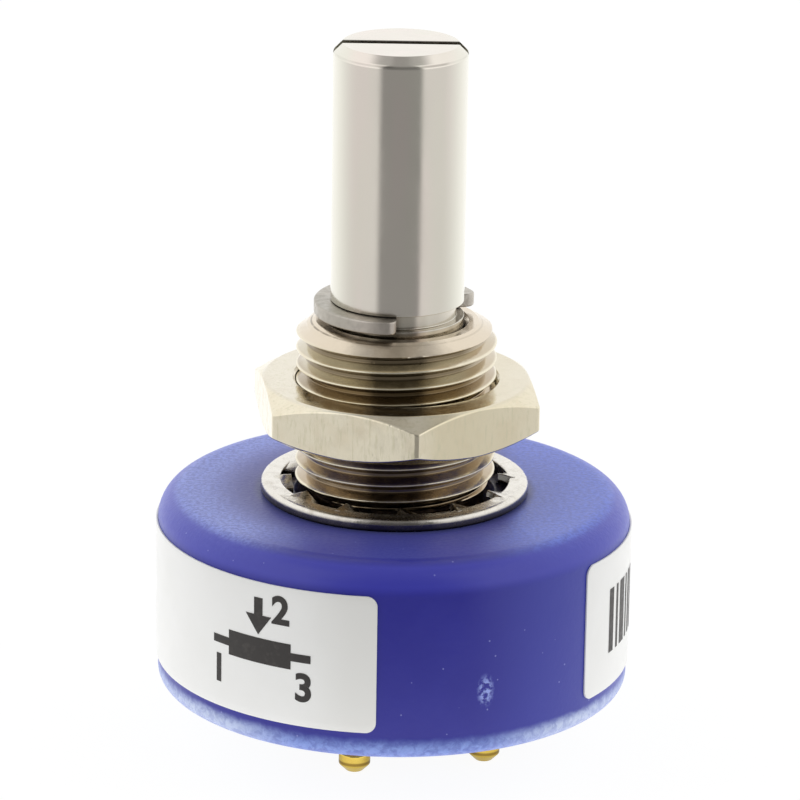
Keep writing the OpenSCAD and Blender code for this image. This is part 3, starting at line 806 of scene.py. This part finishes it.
def thread_profile():
    """One turn of the thread as (height from the crest's middle, radius)."""
    crest, flank = PITCH / 28, THREAD_DEPTH * math.tan(math.radians(30))
    root = THREAD_R - THREAD_DEPTH
    line = rounded([
        (-PITCH / 2, root, 0), (-crest - flank, root, 0.09), (-crest, THREAD_R, 0.025),
        (crest, THREAD_R, 0.025), (crest + flank, root, 0.09), (PITCH / 2, root, 0),
    ], closed=False, steps=4, hold=0.012)
    return split_long(line, 0.09)


def thread_net(around):
    """The right-hand thread in rows that climb one pitch in a turn. It fades out at foot and chamfer."""
    heights, radii = np.array(thread_profile()).T
    base = np.concatenate([CREST_Z + k * PITCH + heights[:-1] for k in range(-3, 12)])
    angles = np.arange(around) * 360 / around
    lift = PITCH * angles / 360
    foot_z, foot_slope = 0.35, 1.2
    verts = []
    for height in base:
        z = np.clip(height + lift, THREAD_LOW, BUSH_TOP)
        phase = (z - lift - CREST_Z + PITCH / 2) % PITCH - PITCH / 2
        r = np.interp(phase, heights, radii)
        r = np.minimum(r, THREAD_R - CHAMFER_WIDE + (BUSH_TOP - z) * CHAMFER_WIDE / CHAMFER_HIGH)
        r = np.minimum(r, SHANK_R + np.maximum(z - foot_z, 0) * foot_slope)
        verts += [at(*place) for place in zip(angles, r, z)]
    # At the seam a row meets the one that lies a turn's rows above it
    turn = len(heights) - 1
    faces = []
    for j in range(len(base) - 1):
        for i in range(around):
            a, b = j * around + i, (j + 1) * around + i
            if i + 1 < around:
                faces.append((a, a + 1, b + 1, b))
            elif j + turn + 1 < len(base):
                faces.append((a, (j + turn) * around, (j + turn + 1) * around, b))
    return verts, faces


def make_bushing():
    around = 192
    inside = rounded([
        (SHANK_R, THREAD_LOW, 0), (SHANK_R, FRONT_WALL_Z, 0), (FLANGE_R, FRONT_WALL_Z, 0.05),
        (FLANGE_R, FLANGE_LOW, 0.1), (BORE_R, FLANGE_LOW, 0.1), (BORE_R, BUSH_TOP - MOUTH, 0.03),
        (BORE_R + MOUTH, BUSH_TOP, 0.04), (THREAD_R - CHAMFER_WIDE, BUSH_TOP, 0),
    ], closed=False)
    verts, faces = revolve(inside, closed=False, around=around)
    to_front = Matrix.Rotation(math.radians(-90), 3, "Z")
    parts = [thread_net(around), ([to_front @ v for v in verts], faces)]
    return build("threaded_bushing", parts, sharp=25)


def slot_cutter():
    """A bar along X with the slot's section, wider at the mouth."""
    half, bottom = SLOT_W / 2, SHAFT_TOP - SLOT_DEPTH
    flare, above, below = half + 0.04, SHAFT_TOP + 0.04, SHAFT_TOP - 0.03
    section = rounded([
        (-flare, above, 0), (-half, below, 0), (-half, bottom, 0.08),
        (half, bottom, 0.08), (half, below, 0), (flare, above, 0),
    ], steps=4)
    return build("cutter", [capped([[Vector((x, y, z)) for y, z in section] for x in (-4.0, 4.0)])])


def make_shaft():
    section = rounded([
        (0, TAIL_Z, 0), (TAIL_R, TAIL_Z, 0), (TAIL_R, SHOULDER_Z, 0), (SHAFT_R, SHOULDER_Z, 0.05),
        (SHAFT_R, GROOVE_LOW, 0.04), (GROOVE_R, GROOVE_LOW, 0.05), (GROOVE_R, GROOVE_HIGH, 0.05),
        (SHAFT_R, GROOVE_HIGH, 0.04), (SHAFT_R, SHAFT_TOP - SHAFT_CHAMFER, 0.32),
        (SHAFT_R - SHAFT_CHAMFER, SHAFT_TOP, 0.05), (0, SHAFT_TOP, 0),
    ], steps=7)
    shaft = build("slotted_shaft", [revolve(section, around=360)])
    cutter = slot_cutter()
    slot = shaft.modifiers.new("slot", "BOOLEAN")
    slot.object, slot.operation, slot.solver = cutter, "DIFFERENCE", "EXACT"
    bake_modifiers(shaft, sharp=24)
    bpy.data.objects.remove(cutter)
    return shaft


def make_ring():
    """The crescent ring: a rounded bar bent round the groove, with its outer corners rounded off."""
    inner_r = GROOVE_R + 0.01
    length = math.radians(RING_TO - RING_FROM) * RING_OUT
    rows = []
    for place, drop in rounded_strip(length, RING_CORNER, 120):
        outer_r = RING_OUT - drop * 0.8
        section = rounded([
            (inner_r, RING_LOW, 0.05), (outer_r, RING_LOW, 0.09),
            (outer_r, RING_HIGH, 0.09), (inner_r, RING_HIGH, 0.05),
        ], steps=4)
        az = RING_FROM + math.degrees(place / RING_OUT)
        rows.append([at(az, r, z) for r, z in section])
    return build("spring_ring", [capped(rows)], sharp=50)


def nut_outline():
    """The hexagon with slightly rounded corners, in short stretches."""
    corner_r = NUT_FLAT / math.cos(math.radians(30))
    corners = []
    for k in range(6):
        a = math.radians(60 * k)
        corners.append((corner_r * math.cos(a), corner_r * math.sin(a), 0.28))
    line = rounded(corners, steps=6, hold=0.03)
    return split_long(line + line[:1], 0.25)[:-1]


def make_nut():
    """The profile of flat, chamfers and bore, swept round the hexagon."""
    slope = math.tan(math.radians(30))
    half, middle = (NUT_HIGH - NUT_LOW) / 2, (NUT_HIGH + NUT_LOW) / 2
    bore, mouth, inside = NUT_BORE_R, NUT_BORE_R + NUT_MOUTH, half - NUT_MOUTH
    turn = Matrix.Rotation(math.radians(NUT_AZ - 90), 3, "Z")
    rows = []
    for x, y in nut_outline():
        r = math.hypot(x, y)
        flat_end = half - (r - NUT_FACE_R) * slope
        section = rounded([
            (bore, -inside, 0.03), (mouth, -half, 0.03), (NUT_FACE_R, -half, 0.15), (r, -flat_end, 0.13),
            (r, flat_end, 0.13), (NUT_FACE_R, half, 0.15), (mouth, half, 0.03), (bore, inside, 0.03),
        ], steps=4, hold=0.015)
        rows.append([turn @ Vector((x / r * reach, y / r * reach, z + middle)) for reach, z in section])
    return build("hexagon_nut", [grid(rows)], sharp=40)


def tooth(az):
    """One tooth: a blade that narrows, thins, rises and twists on its way to the tip."""
    root_r = WASHER_IN + 0.28
    steps = 12
    turn = Matrix.Rotation(math.radians(az), 3, "Z")
    rows = []
    for step in range(steps + 1):
        along = step / steps
        ease = along * along * (3 - 2 * along)
        r = root_r - along * (root_r - TOOTH_TIP_R)
        half_w, half_t = 0.72 - 0.16 * ease, 0.26 - 0.08 * ease
        rise, twist = 0.3 + 0.08 * ease, math.radians(6 + 17 * ease)
        c, s = math.cos(twist), math.sin(twist)
        blade = rounded([
            (-half_w, -half_t, 0.07), (half_w, -half_t, 0.07),
            (half_w, half_t, 0.07), (-half_w, half_t, 0.07),
        ], steps=3, hold=0.01)
        rows.append([turn @ Vector((x * c + z * s, -r, rise - x * s + z * c)) for x, z in blade])
    return capped(rows)


def make_washer():
    section = rounded([
        (WASHER_IN, 0, 0.04), (WASHER_OUT, 0, 0.12),
        (WASHER_OUT, WASHER_T, 0.26), (WASHER_IN, WASHER_T, 0.08),
    ], steps=5)
    teeth = [tooth(TOOTH_AZ + 360 / TEETH * k) for k in range(TEETH)]
    return build("tooth_washer", [revolve(section), *teeth], sharp=45)


def make_label():
    """The film: a sheet with rounded corners, wrapped round the case and given its thickness."""
    per_degree = math.radians(1) * LABEL_R
    length = (LABEL_TO - LABEL_FROM) * per_degree
    steps = 16
    rows = []
    for place, drop in rounded_strip(length, LABEL_CORNER, 150):
        az = LABEL_FROM + place / per_degree
        low, high = LABEL_LOW + drop, LABEL_TOP - drop
        rows.append([at(az, LABEL_R, low + (high - low) * k / steps) for k in range(steps + 1)])
    label = build("label_wrap", [grid(rows, wrap_rows=False, wrap_columns=False)])
    film = label.modifiers.new("thickness", "SOLIDIFY")
    film.thickness, film.offset = FILM * MM, -1
    edge = label.modifiers.new("edge", "BEVEL")
    edge.width, edge.segments = 0.02 * MM, 2
    edge.limit_method, edge.angle_limit = "ANGLE", math.radians(50)
    bake_modifiers(label, sharp=50)
    return label


def bar(x0, y0, x1, y1):
    return [(x0, y0), (x1, y0), (x1, y1), (x0, y1)]


def digit(text, x, y, height):
    """A plain number as flat shapes."""
    curve = bpy.data.curves.new("digit", "FONT")
    curve.body, curve.size = text, height * 1.4
    curve.align_x, curve.align_y = "CENTER", "CENTER"
    curve.offset = 0.045 * height
    obj = bpy.data.objects.new("digit", curve)
    bpy.context.scene.collection.objects.link(obj)
    bpy.context.view_layer.update()
    evaluated = obj.evaluated_get(bpy.context.evaluated_depsgraph_get())
    mesh = bpy.data.meshes.new_from_object(evaluated)
    points = [(x + v.co.x, y + v.co.y) for v in mesh.vertices]
    shapes = [[points[i] for i in polygon.vertices] for polygon in mesh.polygons]
    bpy.data.objects.remove(obj)
    bpy.data.curves.remove(curve)
    bpy.data.meshes.remove(mesh)
    return shapes


def cut_in_strips(shapes, width):
    """The flat shapes cut into upright strips, so that they can bend."""
    bm = bmesh.new()
    for shape in shapes:
        bm.faces.new([bm.verts.new((x, y, 0)) for x, y in shape])
    strips = int(max(abs(v.co.x) for v in bm.verts) / width)
    for k in range(-strips, strips + 1):
        geometry = bm.verts[:] + bm.edges[:] + bm.faces[:]
        bmesh.ops.bisect_plane(bm, geom=geometry, plane_co=(k * width, 0, 0), plane_no=(1, 0, 0))
    pieces = [[(v.co.x, v.co.y) for v in face.verts] for face in bm.faces]
    bm.free()
    return pieces


def make_print(name, shapes, az):
    """Flat shapes laid on the label, with the middle of the drawing at azimuth az."""
    verts, faces = [], []
    for shape in cut_in_strips(shapes, 0.25):
        faces.append(tuple(range(len(verts), len(verts) + len(shape))))
        verts += [at(az + math.degrees(x / INK_R), INK_R, PRINT_Z + y) for x, y in shape]
    obj = build(name, [(verts, faces)])
    for polygon in obj.data.polygons:
        outward = Vector((polygon.center.x, polygon.center.y, 0))
        if polygon.normal.dot(outward) < 0:
            polygon.flip()
    return obj


def symbol_shapes():
    """The usual drawing for a potentiometer: a bar with two leads, an arrow and the terminals' numbers."""
    shapes = [
        bar(-1.75, -0.62, 1.75, 0.62), bar(-2.75, -0.2, -1.75, 0.2), bar(1.75, -0.2, 2.75, 0.2),
        bar(-0.24, 1.7, 0.24, 2.6), [(-0.72, 1.75), (0, 0.78), (0.72, 1.75)],
    ]
    for text, x, y in (("1", -2.4, -1.5), ("2", 1.2, 2.1), ("3", 2.4, -1.5)):
        shapes += digit(text, x, y, 1.35)
    return shapes


def bar_shapes():
    """A plain block of bars."""
    shapes, x, half = [], -2.0, 1.6
    for width, gap in ((0.5, 0.35), (0.25, 0.3), (0.7, 0.3), (0.25, 0.35), (0.4, 0.3), (0.3, 0)):
        shapes.append(bar(x, -half, x + width, half))
        x += width + gap
    return shapes


def make_terminal(number, az):
    low, head = FLOOR_Z, FLOOR_Z + HEAD_H
    chamfer = 0.35
    section = rounded([
        (0, low, 0), (HEAD_R - chamfer, low, 0.1), (HEAD_R, low + chamfer, 0.12), (HEAD_R, head, 0.1),
        (NECK_R, head, 0.06), (NECK_R, COLLAR_LOW, 0.05), (COLLAR_R, COLLAR_LOW, 0.06),
        (COLLAR_R, COVER_LOW, 0.03), (NECK_R, COVER_LOW, 0), (NECK_R, RIVET_LOW, 0),
        (RIVET_R, RIVET_LOW, 0.04), (RIVET_R, RIVET_HIGH, 0.06), (0, RIVET_HIGH, 0),
    ], steps=5)
    centre = at(az, TERMINAL_R, 0).xy
    return build(f"turret_{number}", [revolve(section, around=96, centre=centre)])


def dress_outside():
    """The pieces that stand for the solids seen from outside, and the label's print."""
    blue = blue_moulding()
    ink = label_ink()
    plate = gold()
    dress(make_housing(), blue, "case", "blue_moulding", "housing")
    dress(make_cover(), blue, "case", "blue_moulding", "rear_cover")
    dress(make_bushing(), bushing_nickel(), "case", "nickel_plate", "bushing")
    dress(make_washer(), washer_steel(), "case", "washer_steel", "lock_washer")
    dress(make_nut(), nut_nickel(), "nut", "nickel_plate", "hex_nut")
    dress(make_shaft(), turned_steel(), "rotor", "stainless_steel", "shaft")
    dress(make_ring(), spring_steel(), "rotor", "spring_steel", "retaining_ring")
    dress(make_label(), label_film(), "case", "label_film", "label")
    dress(make_print("print_symbol", symbol_shapes(), SYMBOL_AZ), ink, "case", "label_film")
    dress(make_print("print_bars", bar_shapes(), BARS_AZ), ink, "case", "label_film")
    for number, az in enumerate(TERMINAL_AZ, 1):
        dress(make_terminal(number, az), plate, "case", "gold_plate", f"terminal_{number}")


def inside_materials():
    """The materials of the solids inside the case, by node."""
    laminate = inner("laminate", (0.50, 0.38, 0.20), (0.42, 0.31, 0.15), 0.5, size=0.3, stretch=(1, 0.3, 1))
    track = inner("conductive_plastic", (0.025, 0.025, 0.028), (0.04, 0.04, 0.042), 0.35, size=0.8)
    silver = inner("silver_film", (0.60, 0.60, 0.61), (0.5, 0.5, 0.5), 0.35, 1.0, size=0.2)
    nylon = inner("natural_nylon", (0.78, 0.75, 0.66), (0.70, 0.67, 0.57), 0.5, size=0.8)
    black = inner("black_moulding", (0.030, 0.030, 0.033), (0.045, 0.045, 0.047), 0.45, size=0.6)
    bronze = inner("contact_bronze", (0.62, 0.38, 0.17), (0.52, 0.30, 0.13), 0.28, 1.0, size=0.4,
                   stretch=(0.2, 1, 1))
    return {
        "element_plate": laminate, "resistive_track": track, "collector_ring": silver,
        "start_lead": silver, "end_lead": silver, "inner_washer": nylon, "rotor_hub": black,
        "wiper_carrier": bronze, "track_brush": bronze, "collector_brush": bronze,
    }


def dress_inside():
    """The solids inside the case keep their shapes and get materials."""
    for node, material in inside_materials().items():
        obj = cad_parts[node]
        if not obj.material_slots:
            obj.data.materials.append(material)
        for place in obj.material_slots:
            place.material = material


make_camera()
make_world()
make_floor()
bpy.context.scene.view_settings.view_transform = "Standard"
dress_outside()
dress_inside()
